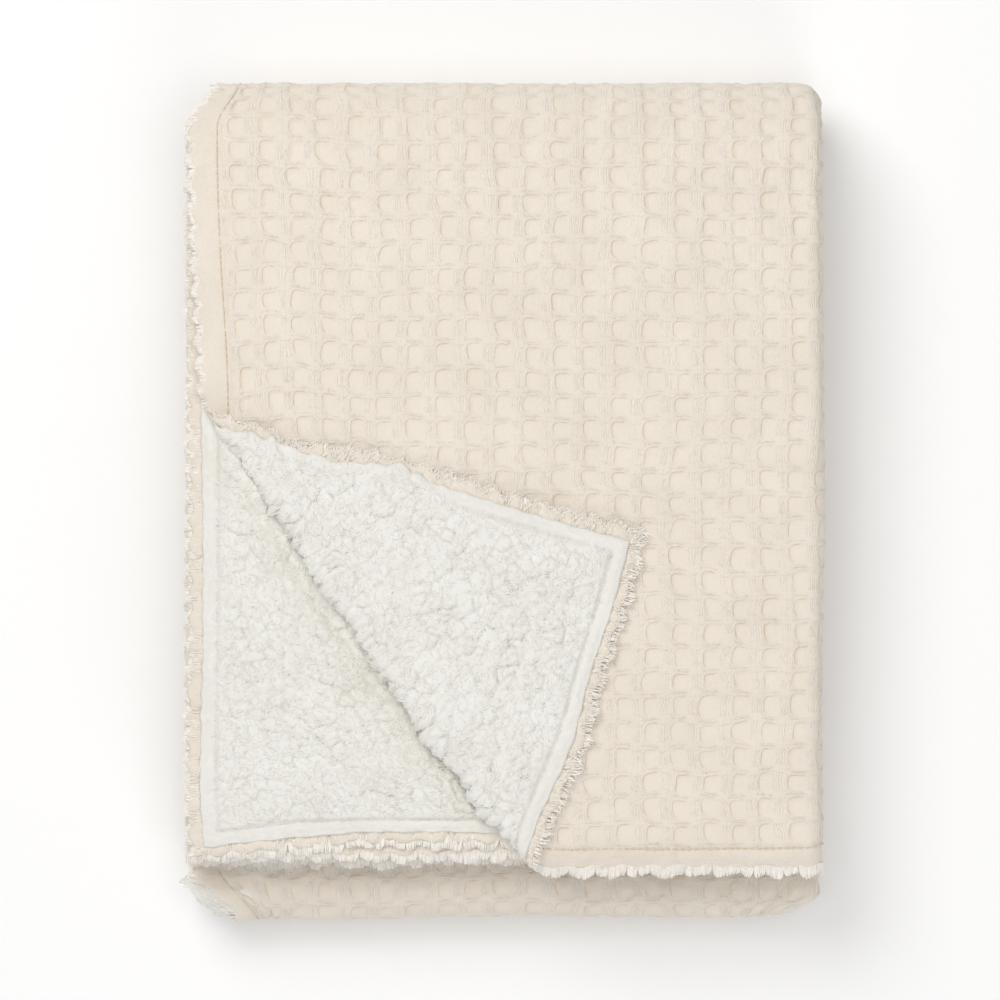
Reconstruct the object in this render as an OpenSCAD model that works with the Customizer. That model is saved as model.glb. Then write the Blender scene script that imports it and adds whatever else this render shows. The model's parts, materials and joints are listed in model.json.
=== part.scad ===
// Folded throw blanket: a waffle-woven face cloth with a sherpa lining, sewn together near
// the edge, folded four ways across its width and four ways along its length, with one top
// corner turned back. X runs across the folded throw, Y along it with the hem at -Y, Z up.
// The origin is on the ground under the middle of the folded throw.

/* [Throw] */
// Flat width between the woven edges
throw_w = 1300; // [1150:10:1450]
// Flat length between the woven edges
throw_l = 1645; // [1450:10:1850]
// Thickness of the waffle face cloth
face_t = 2; // [1.6:0.1:2.6]
// Thickness of the sherpa lining
lining_t = 3; // [2.4:0.1:4]

/* [Edges] */
// Length of the fringe on the long sides
side_fringe = 5; // [3:0.5:8]
// Length of the fringe on the two ends
end_fringe = 8; // [4:0.5:12]
// Distance from the woven edge to the seam
seam_in = 12; // [9:1:20]
// Distance from the woven edge to the edge of the lining
lining_in = 5; // [2:0.5:7]
// Width of the sewing thread
thread_w = 0.8; // [0.5:0.1:1.2]

/* [Folds] */
// How far the lower folds stick out beyond the top hem
hem_lead = 7.6; // [3:0.2:20]
// How far up the side the top corner is turned back
corner_side = 240; // [120:5:300]
// How far along the hem the top corner is turned back
corner_end = 180; // [100:5:250]

/* [Hidden] */
$fn = 64;
sheet = face_t + lining_t;          // one layer of the double cloth
pack = 4 * sheet;                   // four layers, folded across the width
air = 0.15;                         // half the gap left between neighbouring surfaces
thread_d = 0.5;                     // how deep the thread sinks into the cloth

// A length to the nearest hundredth of a millimetre, so that neighbouring faces meet exactly
function neat(length) = round(length * 100) / 100;

// Layers are folded about three half circles across the width, of 1.5, 0.5 and 0.5 sheets.
run_x = neat((throw_w - PI * 2.5 * sheet) / 4);
left_out = max(sheet - air, side_fringe);
right_out = 2 * sheet - air;
x_left = neat(-(run_x + right_out - left_out) / 2);
x_right = x_left + run_x;

// Packs are folded about three half circles along the length, of 1.5, 0.5 and 0.5 packs.
run_y = neat((throw_l - PI * 2.5 * pack - 2 * hem_lead) / 4);
long_y = run_y + hem_lead + 3 * pack - 2 * air;
y_back = neat(long_y / 2 - 2 * pack + air);
y_hem = y_back - run_y;
y_front = y_hem - hem_lead;

// Heights, lowered so that the lowest surface is at zero
z_fold = 2 * pack - air;            // axis of the back fold
z_front = pack - air;               // axis of the front fold
z_top = 4 * pack - air;             // axis of the corner's crease

// The crease runs from the side down to the hem.
crease_len = neat(sqrt(corner_side * corner_side + corner_end * corner_end));
crease_turn = -atan2(corner_side, corner_end);
far = 2 * throw_w;                  // longer than anything here

face_colour = [0.91, 0.87, 0.80];
lining_colour = [0.93, 0.92, 0.89];
fringe_colour = [0.95, 0.93, 0.90];
thread_colour = [0.84, 0.76, 0.64];

// ---- Flat shapes in the cross-section of one pack: x across, y up from its middle ----

module bar(x0, x1, z0, z1) {
    translate([x0, z0]) square([x1 - x0, z1 - z0]);
}

module half_ring(cx, cz, r0, r1, side) {
    translate([cx, cz]) intersection() {
        difference() {
            circle(r1);
            circle(r0);
        }
        translate([side > 0 ? 0 : -2 * r1, -2 * r1]) square([2 * r1, 4 * r1]);
    }
}

// The band of cloth between heights h0 and h1, with 0 on the lining's outer surface and one
// sheet on the face's, along all four layers. Its two free edges are inset from the left.
module ply(h0, h1, inset = 0) {
    bar(x_left + inset, x_right, sheet + h0, sheet + h1);
    half_ring(x_right, 0, sheet + h0, sheet + h1, 1);
    bar(x_left, x_right, -sheet - h1, -sheet - h0);
    half_ring(x_left, -sheet, h0, h1, -1);
    bar(x_left, x_right, -sheet + h0, -sheet + h1);
    half_ring(x_right, 0, sheet - h1, sheet - h0, 1);
    bar(x_left + inset, x_right, sheet - h1, sheet - h0);
}

module face_ply() {
    ply(lining_t + air, sheet - air);
}

module lining_ply(inset = 0) {
    ply(air, lining_t - air, inset);
}

module needle_ply(inset = 0) {
    ply(sheet - air - thread_d, sheet - air, inset);
}

module bobbin_ply(inset = 0) {
    ply(air, air + thread_d, inset);
}

// The seam along the two free side edges, where it crosses the cross-section
module side_seam() {
    x0 = x_left + seam_in - thread_w / 2;
    bar(x0, x0 + thread_w, -far, far);
}

// The middle of a layer, which keeps the side seam off the two lower layers
module free_layers() {
    bar(-far, x_right, 0, 2 * pack);
}

module needle_line() {
    intersection() {
        needle_ply();
        side_seam();
        free_layers();
    }
}

module bobbin_line() {
    intersection() {
        bobbin_ply();
        side_seam();
        free_layers();
    }
}

module fringe_line() {
    bar(x_left - side_fringe, x_left, sheet + lining_t + air, 2 * sheet - air);
    bar(x_left - side_fringe, x_left, air, face_t - air);
}

// ---- Sweeps that carry a cross-section along the length ----

// Straight run between y0 and y1 in pack number k, counted from the ground. Even packs lie
// face down and odd ones face up.
module run(k, y0, y1) {
    z = (k + 0.5) * pack - air;
    flip = k % 2 == 0 ? 1 : 0;
    translate([0, y1, z]) mirror([0, 0, flip]) rotate([90, 0, 0])
        linear_extrude(y1 - y0) children();
}

// Half turn about an X axis, starting below the axis; out is +1 where the cross-section's
// top faces away from the axis, and -1 where it faces the axis.
module half_turn(y, z, r, out, back) {
    translate([0, y, z]) mirror([0, back > 0 ? 0 : 1, 0]) rotate([0, 90, 0])
        rotate_extrude(angle = 180)
            translate([r, 0]) mirror([out > 0 ? 0 : 1, 0]) mirror([1, -1]) children();
}

module lower_sweep() {
    run(0, y_front, y_back) children();
    half_turn(y_front, z_front, pack / 2, 1, -1) children();
    run(1, y_front, y_back) children();
}

module back_sweep() {
    half_turn(y_back, z_fold, 1.5 * pack, 1, 1) children();
    half_turn(y_back, z_fold, 0.5 * pack, -1, 1) children();
}

// The upper half, starting a distance in from the hem
module upper_sweep(from_hem = 0) {
    run(2, y_hem + from_hem, y_back) children();
    run(3, y_hem + from_hem, y_back) children();
}

// A short run across the hem of pack k, between two distances from the woven edge
module hem_run(k, d0, d1) {
    run(k, y_hem + d0, y_hem + d1) children();
}

module seam_run(k) {
    hem_run(k, seam_in - thread_w / 2, seam_in + thread_w / 2) children();
}

// ---- The corner of the top layer ----

// Puts children, drawn with the crease along x, in their place on top of the stack
module on_crease() {
    translate([x_left, y_hem + corner_side, z_top]) rotate([0, 0, crease_turn]) children();
}

// Everything in the top layer beyond the crease
module beyond_crease() {
    on_crease() translate([-far, -far, -sheet]) cube([2 * far, far, 2 * sheet]);
}

// Turns a flat corner about the crease on to the layer beside it
module turned_back() {
    on_crease() rotate([180, 0, 0]) rotate([0, 0, -crease_turn])
        translate([-x_left, -y_hem - corner_side, -z_top]) children();
}

module corner_piece() {
    turned_back() intersection() {
        children();
        beyond_crease();
    }
}

module trimmed() {
    difference() {
        children();
        beyond_crease();
    }
}

// Half tube of cloth between heights h0 and h1 round the crease
module crease_tube(h0, h1) {
    on_crease() rotate([90, 0, 90]) linear_extrude(crease_len)
        half_ring(0, 0, sheet - h1, sheet - h0, -1);
}

// ---- Lower half: two packs joined at the front ----

module face_cloth_lower() {
    color(face_colour) lower_sweep() difference() {
        face_ply();
        needle_line();
    }
}

module lining_lower() {
    color(lining_colour) lower_sweep() difference() {
        lining_ply(lining_in);
        bobbin_line();
    }
}

module side_fringe_lower() {
    color(fringe_colour) lower_sweep() fringe_line();
}

module needle_thread_lower() {
    color(thread_colour) lower_sweep() needle_line();
}

module bobbin_thread_lower() {
    color(thread_colour) lower_sweep() bobbin_line();
}

// ---- Back fold, which opens when the upper half is lifted over ----

module face_cloth_back_fold() {
    color(face_colour) back_sweep() difference() {
        face_ply();
        needle_line();
    }
}

module lining_back_fold() {
    color(lining_colour) back_sweep() difference() {
        lining_ply(lining_in);
        bobbin_line();
    }
}

module side_fringe_back_fold() {
    color(fringe_colour) back_sweep() fringe_line();
}

module needle_thread_back_fold() {
    color(thread_colour) back_sweep() needle_line();
}

module bobbin_thread_back_fold() {
    color(thread_colour) back_sweep() bobbin_line();
}

// ---- Upper half: two packs with the two hemmed ends of the throw ----

// Needle thread of the upper half before the corner is taken out of it
module needle_thread_flat() {
    upper_sweep(seam_in) needle_line();
    for (k = [2, 3]) seam_run(k) needle_ply(seam_in);
}

module bobbin_thread_flat() {
    upper_sweep(seam_in) bobbin_line();
    for (k = [2, 3]) seam_run(k) bobbin_ply(seam_in);
}

module face_cloth_flat() {
    difference() {
        upper_sweep() face_ply();
        needle_thread_flat();
    }
}

module lining_flat() {
    difference() {
        upper_sweep(lining_in) lining_ply(lining_in);
        bobbin_thread_flat();
    }
}

module side_fringe_flat() {
    upper_sweep() fringe_line();
}

module end_fringe_flat(k) {
    hem_run(k, -end_fringe, 0) face_ply();
}

module face_cloth_upper() {
    color(face_colour) trimmed() face_cloth_flat();
}

module lining_upper() {
    color(lining_colour) trimmed() lining_flat();
}

module side_fringe_upper() {
    color(fringe_colour) trimmed() side_fringe_flat();
}

module first_end_fringe() {
    color(fringe_colour) trimmed() end_fringe_flat(3);
}

module last_end_fringe() {
    color(fringe_colour) end_fringe_flat(2);
}

module needle_thread_upper() {
    color(thread_colour) trimmed() needle_thread_flat();
}

module bobbin_thread_upper() {
    color(thread_colour) trimmed() bobbin_thread_flat();
}

// ---- Crease and turned-back corner ----

module face_cloth_crease() {
    color(face_colour) crease_tube(lining_t + air, sheet - air);
}

module lining_crease() {
    color(lining_colour) crease_tube(air, lining_t - air);
}

module face_cloth_corner() {
    color(face_colour) corner_piece() face_cloth_flat();
}

module lining_corner() {
    color(lining_colour) corner_piece() lining_flat();
}

module corner_side_fringe() {
    color(fringe_colour) corner_piece() side_fringe_flat();
}

module corner_end_fringe() {
    color(fringe_colour) corner_piece() end_fringe_flat(3);
}

module needle_thread_corner() {
    color(thread_colour) corner_piece() needle_thread_flat();
}

module bobbin_thread_corner() {
    color(thread_colour) corner_piece() bobbin_thread_flat();
}

face_cloth_lower();
lining_lower();
side_fringe_lower();
needle_thread_lower();
bobbin_thread_lower();
face_cloth_back_fold();
lining_back_fold();
side_fringe_back_fold();
needle_thread_back_fold();
bobbin_thread_back_fold();
face_cloth_upper();
lining_upper();
side_fringe_upper();
first_end_fringe();
last_end_fringe();
needle_thread_upper();
bobbin_thread_upper();
face_cloth_crease();
lining_crease();
face_cloth_corner();
lining_corner();
corner_side_fringe();
corner_end_fringe();
needle_thread_corner();
bobbin_thread_corner();
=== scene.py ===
"""A folded throw: waffle-woven face cloth, sherpa lining, fringed edges and the seam between them.

The cloth is worked out flat, with u across it, v along it and h up through its thickness, and
then laid along the folds that the frame gives. Everything is in metres. Sizes and strengths of
the seeded noise stand where it is used.
"""
import json
import math
from functools import partialmethod

import bpy
import numpy as np
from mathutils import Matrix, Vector


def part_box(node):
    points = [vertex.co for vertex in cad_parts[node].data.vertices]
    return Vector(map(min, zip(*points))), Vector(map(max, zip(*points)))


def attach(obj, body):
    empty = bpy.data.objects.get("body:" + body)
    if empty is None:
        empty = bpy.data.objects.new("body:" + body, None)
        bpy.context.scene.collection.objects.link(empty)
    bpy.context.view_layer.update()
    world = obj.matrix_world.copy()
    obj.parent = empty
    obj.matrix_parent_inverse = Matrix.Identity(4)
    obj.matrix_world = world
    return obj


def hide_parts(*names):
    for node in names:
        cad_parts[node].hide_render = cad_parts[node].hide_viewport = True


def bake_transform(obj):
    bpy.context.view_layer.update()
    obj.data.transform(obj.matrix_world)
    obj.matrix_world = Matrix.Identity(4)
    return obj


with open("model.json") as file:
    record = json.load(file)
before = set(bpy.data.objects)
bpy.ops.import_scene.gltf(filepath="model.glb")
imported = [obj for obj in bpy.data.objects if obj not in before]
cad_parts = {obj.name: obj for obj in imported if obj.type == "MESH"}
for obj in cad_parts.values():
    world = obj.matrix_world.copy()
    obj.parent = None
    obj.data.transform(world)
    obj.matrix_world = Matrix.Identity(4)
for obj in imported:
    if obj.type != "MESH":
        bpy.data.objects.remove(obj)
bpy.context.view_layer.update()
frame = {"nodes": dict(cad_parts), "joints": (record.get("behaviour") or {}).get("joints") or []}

MM = 0.001
TURN = 2 * math.pi

# ---- The folds, read from the frame ----

HINGES = {joint["name"]: joint for joint in frame["joints"]}
Y_BACK, Z_FOLD = HINGES["unfold"]["pos_m"][1:]
X_LEFT, Y_CREASE, Z_TOP = HINGES["corner_turn"]["pos_m"]
CREASE = np.array(HINGES["corner_turn"]["axis"][:2])
CREASE = CREASE / math.hypot(*CREASE)
CREASE_NORMAL = np.array([-CREASE[1], CREASE[0]])  # points at the part that lies flat

PACK = (Z_TOP - Z_FOLD) / 2  # four layers, folded across the width
SHEET = PACK / 4  # one layer of face cloth and lining
AIR = 2 * PACK - Z_FOLD  # half the gap between two surfaces

(_, Y_HEM, _), (X_MOST, _, _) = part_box("face_cloth_upper")
(_, Y_LINING, _), (_, _, Z_LINING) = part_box("lining_upper")
X_RIGHT = X_MOST - 2 * SHEET + AIR
Y_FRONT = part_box("face_cloth_lower")[0][1] + PACK - AIR
Z_FRONT = Z_FOLD - PACK
SIDE_FRINGE = X_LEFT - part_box("side_fringe_upper")[0][0]
END_FRINGE = Y_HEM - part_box("first_end_fringe")[0][1]
LINING_IN = Y_LINING - Y_HEM  # from the woven edge to the lining's edge
SEAM_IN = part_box("needle_thread_upper")[0][1] - Y_HEM + 0.4 * MM
LINING_T = Z_LINING - Z_TOP + PACK / 2 - SHEET + AIR  # how thick the lining is

RUN_X = X_RIGHT - X_LEFT
RUN_Y = Y_BACK - Y_HEM
LONG_RUN = Y_BACK - Y_FRONT
FRONT_ARC = math.pi * PACK / 2

# Where each layer and each fold across the width ends, starting from the top layer's free edge
U_ENDS = np.cumsum([0, RUN_X, 1.5 * math.pi * SHEET, RUN_X, 0.5 * math.pi * SHEET, RUN_X,
                    0.5 * math.pi * SHEET, RUN_X])
WIDTH = U_ENDS[-1]
TOP_END = U_ENDS[1]  # the top layer runs from 0 to here,
SECOND = U_ENDS[6]  # and the layer below it from here to the other side edge

# The strips that the throw is divided into along its length, from one hem to the other
STRIP_LENGTH = {
    "first": RUN_Y,
    "outer_fold": 1.5 * math.pi * PACK,
    "lower": 2 * LONG_RUN + FRONT_ARC,
    "inner_fold": 0.5 * math.pi * PACK,
    "last": RUN_Y,
}
HEMMED = ("first", "last")  # strips that start at a hem
MIRRORED = ("last", "inner_fold")  # strips whose u, v and h are left-handed


# ---- Noise ----

def smooth(t):
    """0 up to t = 0, 1 from t = 1, with an even rise between."""
    t = np.clip(t, 0.0, 1.0)
    return t * t * (3 - 2 * t)


def bell(x, width):
    return np.exp(-(x / width) ** 2)


def hashed(i, j, seed):
    """A number from 0 to 1 that belongs to the lattice point i, j."""
    n = np.asarray(i).astype(np.int64) * 374761393 + np.asarray(j).astype(np.int64) * 668265263
    n = (n + seed * 1442695041) & 0xFFFFFFFF
    n = ((n ^ (n >> 13)) * 1274126177) & 0xFFFFFFFF
    return ((n ^ (n >> 16)) & 0xFFFFFF) / float(0xFFFFFF)


def noise(x, y, seed):
    """Smooth noise from -1 to 1 that changes about once every unit."""
    x, y = np.broadcast_arrays(np.asarray(x, float), np.asarray(y, float))
    i, j = np.floor(x), np.floor(y)
    fx, fy = smooth(x - i), smooth(y - j)
    near = hashed(i, j, seed) * (1 - fx) + hashed(i + 1, j, seed) * fx
    far = hashed(i, j + 1, seed) * (1 - fx) + hashed(i + 1, j + 1, seed) * fx
    return 2 * (near * (1 - fy) + far * fy) - 1


def grain(u, v, size, seed):
    """Noise whose lumps have the same size both ways."""
    return noise(u / size, v / size, seed)


def clumps(x, y, seed):
    """Distances to the nearest two of some scattered points, and a number for the nearest."""
    i, j = np.floor(x), np.floor(y)
    first = np.full(x.shape, 9.0)
    second = first.copy()
    tag = np.zeros(x.shape)
    for a in (-1, 0, 1):
        for b in (-1, 0, 1):
            px = i + a + 0.05 + 0.9 * hashed(i + a, j + b, seed)
            py = j + b + 0.05 + 0.9 * hashed(i + a, j + b, seed + 1)
            d = np.hypot(x - px, y - py)
            nearer = d < first
            second = np.where(nearer, first, np.minimum(second, d))
            tag = np.where(nearer, hashed(i + a, j + b, seed + 2), tag)
            first = np.where(nearer, d, first)
    return first, second, tag


# ---- From flat cloth to folded cloth ----

def across(u, h):
    """x, and the height from the middle of the pack, at u across the cloth and h up in it."""
    s = SHEET
    a, b, c, d, e, f = U_ENDS[1:7]
    outer, left, inner = (u - a) / (1.5 * s), (u - c) / (0.5 * s), (u - e) / (0.5 * s)
    where = [u <= a, u <= b, u <= c, u <= d, u <= e, u <= f]
    x = np.select(where, [
        X_LEFT + u,
        X_RIGHT + (s + h) * np.sin(outer),
        X_RIGHT - (u - b),
        X_LEFT - h * np.sin(left),
        X_LEFT + (u - d),
        X_RIGHT + (s - h) * np.sin(inner),
    ], X_RIGHT - (u - f))
    rise = np.select(where, [
        s + h,
        (s + h) * np.cos(outer),
        -s - h,
        -s - h * np.cos(left),
        -s + h,
        -(s - h) * np.cos(inner),
    ], s - h)
    return x, rise


def along(strip, v, rise):
    """y and z at v along a strip, at a height from the middle of its pack."""
    if strip == "first":
        return Y_HEM + v, Z_FOLD + 1.5 * PACK + rise
    if strip == "last":
        return Y_HEM + v, Z_FOLD + 0.5 * PACK - rise
    if strip in ("outer_fold", "inner_fold"):
        middle, way = (1.5 * PACK, 1) if strip == "outer_fold" else (0.5 * PACK, -1)
        turn, r = v / middle, middle + way * rise
        return Y_BACK + r * np.sin(turn), Z_FOLD + r * np.cos(turn)
    turn, r = (v - LONG_RUN) / (0.5 * PACK), 0.5 * PACK + rise
    past = v - LONG_RUN - FRONT_ARC
    where = [v <= LONG_RUN, past <= 0]
    y = np.select(where, [Y_BACK - v, Y_FRONT - r * np.sin(turn)], Y_FRONT + past)
    z = np.select(where, [Z_FOLD - 1.5 * PACK - rise, Z_FRONT - r * np.cos(turn)],
                  Z_FOLD - 0.5 * PACK + rise)
    return y, z


ROLL = 0.7 * MM  # radius of the hollow in the corner's crease
SETTLED_ROLL = 0.3 * MM  # what is left of it where the turned corner lies on the top layer
CREASE_LENGTH = (Y_CREASE - Y_HEM) / abs(CREASE[1])
BEND = math.pi * (ROLL + SHEET / 2)  # length of cloth in the crease


def past_crease(strip, u, v):
    """How far a point of the cloth lies beyond the crease, which only the top layer crosses."""
    if strip != "first":
        return np.full(np.shape(u), -1.0)
    n = u * CREASE_NORMAL[0] + (Y_HEM + v - Y_CREASE) * CREASE_NORMAL[1]
    s = (u * CREASE[0] + (Y_HEM + v - Y_CREASE) * CREASE[1]) / CREASE_LENGTH
    return np.where(u <= TOP_END, set_in(s) * bell(n, 28 * MM) - n, -1.0)


def set_in(s):
    """How far the crease bows in from its straight line, at a share s of its length."""
    bow = np.interp(s, [0, 0.25, 0.5, 0.8, 1], [7, 6, 3, 2, -2])
    return MM * (bow + 2.4 * noise(s * 6, 0, 45) + 1.5 * noise(s * 19, 0, 46))


def turn_back(strip, u, v, h, x, y, z):
    """Rolls the corner beyond the crease over and lays it on the top layer."""
    past = past_crease(strip, u, v)
    r = ROLL + SHEET - h
    turn = np.clip(past / BEND, 0, 1) * math.pi
    flat = np.maximum(past - BEND, 0)
    there = np.where(past < BEND, -r * np.sin(turn), flat + BEND * smooth(flat / (48 * MM)))
    shift = np.where(past > 0, there + past, 0)
    settled = 2 * (ROLL - SETTLED_ROLL) * smooth(flat / (30 * MM))
    lift = np.where(past > 0, Z_TOP + ROLL - r * np.cos(turn) - settled, z)
    return x + shift * CREASE_NORMAL[0], y + shift * CREASE_NORMAL[1], lift


def settle(x, y, z):
    """The soft lie of the whole stack: thin at its free edges, uneven, with rounded corners. The
    faces that meet when the throw is opened stay level."""
    high = np.maximum(z - Z_FOLD, 0) / (Z_TOP - Z_FOLD)
    free_side = smooth((X_LEFT + 70 * MM - x) / (80 * MM))
    free_end = smooth((Y_HEM + 60 * MM - y) / (70 * MM))
    droop = smooth((Y_HEM + 13 * MM - y) / (20 * MM))
    bump = 1.1 * noise(x / 0.085, y / 0.075, 31) + 0.5 * noise(x / 0.034, y / 0.038, 32)
    side_wave = noise(y / 0.052, z / 0.09, 33) * free_side
    end_wave = noise(x / 0.048, z / 0.09, 34) * free_end
    sag = 4.4 * free_side + 2.2 * free_end + 7 * droop
    z_new = z + (bump + 1.3 * (side_wave + end_wave) - sag) * MM * high
    within = np.sin(np.clip(z / Z_FOLD, 0, 1) * math.pi)
    z_new = z_new + 0.9 * MM * within * noise(x / 0.06 + 9, y / 0.07, 37)
    z_new = np.where(z_new < MM, MM * np.exp(np.minimum(z_new / MM - 1, 0)), z_new)
    left = smooth(1 - (x - X_LEFT) / 0.05)
    right = smooth((x - X_RIGHT + 0.05) / 0.06)
    left_in = 23 * smooth((-0.188 - y) / 0.030) + 13 * smooth((y - 0.192) / 0.026)
    right_in = 16 * smooth((-0.204 - y) / 0.014) + 2 * smooth((y - 0.205) / 0.013)
    layered = 0.8 * noise(z / 0.017, y / 0.11, 35)
    x_new = x + MM * (left * left_in - right * right_in + layered * (left + right))
    from_fold = np.where(y > 0, np.clip(np.abs(z - Z_FOLD) / PACK, 0, 1), 1)
    shifted = 1.2 * noise(x / 0.09, z / 0.03, 36) * smooth(np.abs(y) / 0.2) * from_fold
    return x_new, y + MM * (shifted + 2 * droop * high), z_new


OUTER_R, FRONT_R = 1.9, 0.9  # radii of the woven face in two folds, in layers or packs


def pattern_u(u):
    """u measured along the woven face, which is longer than the cloth's middle at the fold."""
    bend = np.clip(u - TOP_END, 0, U_ENDS[2] - TOP_END)
    return u + bend * (OUTER_R / 1.5 - 1)


def pattern_v(strip, v):
    """v measured along the woven face, counted on from strip to strip."""
    outer = math.pi * OUTER_R * PACK
    front = math.pi * FRONT_R * PACK
    if strip == "first":
        return v
    if strip == "outer_fold":
        return RUN_Y + v * OUTER_R / 1.5
    if strip == "lower":
        bend = np.clip(v - LONG_RUN, 0, FRONT_ARC)
        return RUN_Y + outer + v + bend * (FRONT_R / 0.5 - 1)
    end = RUN_Y + outer + 2 * LONG_RUN + front
    if strip == "inner_fold":
        return end + (STRIP_LENGTH["inner_fold"] - v)
    return end + STRIP_LENGTH["inner_fold"] + RUN_Y - v


def edge_distance(strip, u, v):
    """Distance in from the nearest woven edge, negative on the fringe."""
    side = np.minimum(u, WIDTH - u)
    return np.minimum(side, v) if strip in HEMMED else side


# How far each layer's hem lies in from the top one's, in millimetres, at places across the cloth
STAGGER_U = [TOP_END, U_ENDS[2], U_ENDS[5], SECOND, WIDTH - 52 * MM, WIDTH - 8 * MM]
STAGGER = {"first": [0, 3.5, 8, 14, 14, 7], "last": [5, 7, 6, 8, 8, 8]}


def scallop(place, cell, line, seed, distance):
    """Waves as long as a waffle cell, within 6.5 mm of a woven edge."""
    wave = np.cos(TURN * place / cell + 1.5 * noise(place / 0.06, line, seed))
    return wave * smooth(1 - distance / 0.0065)


def ripple(strip, u, v):
    """Waves that the cloth's edges make within the cloth, and how far each hem is drawn in."""
    t = pattern_v(strip, v)
    side = np.minimum(u, WIDTH - u)
    outward = np.where(u < WIDTH / 2, -1.0, 1.0)
    wave = 1.1 * noise(t / 0.037, outward, 41) * smooth(1 - side / 0.022)
    wave = wave + 1.2 * scallop(t, CELL_V, outward, 43, side) + 1.4 * smooth(1 - side / 0.006)
    du = outward * MM * wave
    dv = 0
    if strip in HEMMED:
        p = pattern_u(u)
        hem = HEMMED.index(strip)
        wave = np.where(u < TOP_END, 1.6, 2.6) * noise(p / 0.038, hem, 42) * smooth(1 - v / 0.022)
        drawn_in = np.interp(u, STAGGER_U, STAGGER[strip]) * smooth(1 - v / 0.12)
        dv = MM * (drawn_in - wave - scallop(p, CELL_U, hem, 44, v))
    if strip == "first":
        rise = Y_CREASE - Y_HEM
        pull = smooth((rise + 0.11 - v) / 0.11) * smooth((v - rise + 0.12) / 0.10)
        du = du + np.where(u < TOP_END, 5.5 * MM * pull * smooth(1 - u / 0.13), 0)
    return u + du, v + dv


def ruffle(strip, u, v):
    """How far the woven edges curl up and down."""
    side = np.minimum(u, WIDTH - u)
    t = pattern_v(strip, v)
    rise = noise(t / 0.0075, u > WIDTH / 2, 47) * smooth(1 - side / 0.008)
    if strip in HEMMED:
        rise = rise + noise(pattern_u(u) / 0.008, HEMMED.index(strip), 48) * smooth(1 - v / 0.008)
    return 0.75 * MM * rise


def cloth_point(strip, u, v, h):
    """The place of a point of the cloth in the folded throw."""
    h = h + ruffle(strip, u, v)
    u, v = ripple(strip, u, v)
    x, rise = across(u, h)
    y, z = along(strip, v, rise)
    x, y, z = turn_back(strip, u, v, h, x, y, z)
    return np.stack(settle(x, y, z), axis=-1)


def share(strip, u, v):
    """How much of a joint's turn a point makes: 0 with the parent body, 1 with the child."""
    u, v = ripple(strip, u, v)
    if strip == "first":
        return np.clip(past_crease(strip, u, v) / BEND, 0, 1)
    if strip in ("outer_fold", "inner_fold"):
        return 1 - v / STRIP_LENGTH[strip]
    return np.zeros(np.shape(u))


# ---- Relief of the two cloths ----

CELL_U, CELL_V = 15.2 * MM, 13.0 * MM  # one waffle cell
FACE_TOP = SHEET - AIR
LINING_TOP = LINING_T - AIR


def cell_coords(strip, u, v):
    """Where a point lies in the weave, in cells across and along, with the weave's unevenness."""
    pu, pv = pattern_u(u), pattern_v(strip, v)
    a = 0.11 * noise(pu / 0.050, pv / 0.041, 11) + 0.105 * noise(pu / 0.013, pv / 0.012, 12)
    b = 0.12 * noise(pu / 0.047, pv / 0.052, 13) + 0.110 * noise(pu / 0.012, pv / 0.013, 14)
    return pu / CELL_U + a, pv / CELL_V + b


DISC_U, DISC_V = 0.27, 0.35  # half the width and height of the disc in a cell, in cells
DISC_POWER = 3.4  # how square the disc is


def waffle(strip, u, v):
    """Height of the woven face, and its tone: painted shade in the hollows on their side away from
    the light, and darker along the seam.
    """
    a, b = cell_coords(strip, u, v)
    edge = edge_distance(strip, u, v)
    i, j = np.floor(a), np.floor(b)
    fa, fb = a - i - 0.5, b - j - 0.5
    folded = crumpled(strip, v)
    depth = 0.42 + 0.60 * hashed(i, j, 17) + 0.38 * noise(a / 4.1, b / 4.7, 21) + 0.5 * folded
    r = (np.abs(fa / DISC_U) ** DISC_POWER + np.abs(fb / DISC_V) ** DISC_POWER) ** (1 / DISC_POWER)
    r = r * (1 + 0.13 * noise(a / 0.21, b / 0.23, 25))
    soft_side = smooth((fa * 1.3 - fb * 0.7) / 0.22 + 0.5)
    pit = 1 - smooth((r - 0.80) / (0.26 + 0.55 * soft_side))
    dome = np.clip(1 - r * r, 0, 1)
    fa, fb = np.abs(fa), np.abs(fb)
    knob = np.clip(1 - ((fa - 0.5) / 0.24) ** 2 - ((fb - 0.5) / 0.20) ** 2, 0, 1)
    floats = smooth((fa - 0.28) / 0.10) * smooth((0.40 - fb) / 0.12)
    weft = smooth((0.24 - fa) / 0.08) * smooth((fb - 0.36) / 0.06)
    sunk = 0.85 * depth * pit - 0.50 * dome * depth + 0.22 * floats + 0.18 * weft - 0.20 * knob
    sunk = sunk + 0.15 * noise(a / 0.31, b / 0.29, 18) + 0.14 * noise(a / 1.7, b / 1.9, 19)
    sunk = sunk + 1.1 * folded * np.abs(noise(a / 0.55, b / 0.8, 26))
    woven = smooth((edge - SEAM_IN - 0.6 * MM) / (2.6 * MM))
    hem = 0.5 + 0.45 * grain(a, b, 0.45, 20) + 0.3 * grain(a, b, 0.2, 24) + 0.4 * pit * depth
    puckers = 0.55 * grain(a, b, 0.17, 28) * bell(edge - SEAM_IN, 4.5 * MM)
    seam = 0.65 * bell(edge - SEAM_IN, 1.1 * MM) + puckers
    height = FACE_TOP - (0.3 + sunk * woven + hem * (1 - woven) + seam) * MM
    # Painted shade in each hollow, on its side away from the light.
    shade = pit * depth * woven * smooth((r - 0.5) / 0.4) * (1 - soft_side)
    tone = np.clip(shade + 0.7 * np.maximum(seam, 0), 0, 1)
    return np.maximum(height, LINING_T + 2 * AIR), tone


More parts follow.
